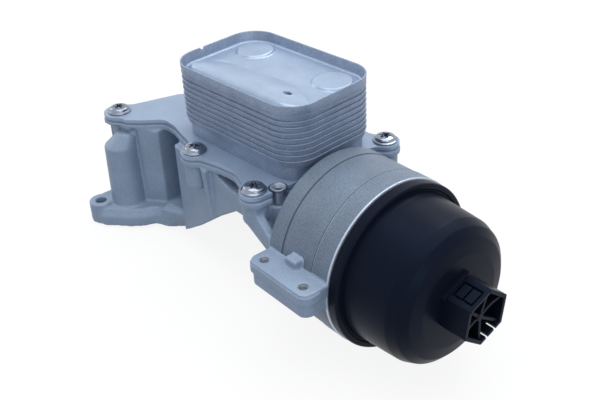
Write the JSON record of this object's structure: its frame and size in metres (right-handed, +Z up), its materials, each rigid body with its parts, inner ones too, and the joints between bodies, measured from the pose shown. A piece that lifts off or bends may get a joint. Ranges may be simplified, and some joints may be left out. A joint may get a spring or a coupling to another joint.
{
  "type": "oil filter housing",
  "caption": "Die-cast oil filter housing with a side filter bowl, a black screw cap with hex drive, and a plate oil cooler bolted on its deck.",
  "frame": {"origin": "on the mounting face that bolts to the engine, straight below the filter axis, beside the oil outlet port", "axes": "+X along the filter axis towards the cap, +Z up from the mounting face to the cooler, +Y away from the side bracket"},
  "size_m": [0.2617, 0.1334, 0.1218],
  "materials": {
    "cast_aluminium": "satin as-cast skin with fine grain",
    "sheet_aluminium": "rolled sheet",
    "brazed_aluminium": "brazed sheet",
    "cover_aluminium": "pressed sheet, softly bright",
    "gasket": "matte",
    "seal_rubber": "matte",
    "screw_steel": "bright plated",
    "eyelet_steel": "plain",
    "spring_steel": "drawn wire",
    "black_plastic": "moulded, low sheen",
    "element_plastic": "moulded",
    "pipe_plastic": "moulded",
    "filter_paper": "pleated, resin coated"
  },
  "bodies": {
    "housing": {"housing_casting": "cast_aluminium", "cooler_base_plate": "sheet_aluminium", "cooler_gasket": "gasket", "cooler_tray": "brazed_aluminium", "cooler_dish_01": "brazed_aluminium", "cooler_dish_02": "brazed_aluminium", "cooler_dish_03": "brazed_aluminium", "cooler_dish_04": "brazed_aluminium", "cooler_dish_05": "brazed_aluminium", "cooler_dish_06": "brazed_aluminium", "cooler_dish_07": "brazed_aluminium", "cooler_dish_08": "brazed_aluminium", "cooler_dish_09": "brazed_aluminium", "cooler_cover": "cover_aluminium", "cooler_screws": "screw_steel", "locating_eyelet": "eyelet_steel", "mounting_seals": "seal_rubber", "standpipe": "pipe_plastic", "bypass_seat": "eyelet_steel", "bypass_spring": "spring_steel"},
    "element": {"filter_paper": "filter_paper", "element_tube": "element_plastic", "element_front_cap": "element_plastic", "element_back_cap": "element_plastic", "element_seal": "seal_rubber"},
    "cap": {"filter_cap": "black_plastic", "cap_ring": "seal_rubber"},
    "bypass_valve": {"bypass_poppet": "pipe_plastic"}
  },
  "joints": [
    {"name": "cap_travel", "type": "slide", "parent": "housing", "child": "element", "axis": [1, 0, 0], "range_m": [0, 0.0161]},
    {"name": "cap_turn", "type": "hinge", "parent": "element", "child": "cap", "pos_m": [0.19, 0, 0.035], "axis": [1, 0, 0], "range_deg": [0, 1440]},
    {"name": "bypass_lift", "type": "slide", "parent": "housing", "child": "bypass_valve", "axis": [-1, 0, 0], "range_m": [0, 0.004], "stiffness_N_per_m": 1500, "deforming": ["bypass_spring"]}
  ],
  "couplings": [
    {"joint": "cap_travel", "follows": "cap_turn", "m_per_rad": 0.00063662}
  ]
}
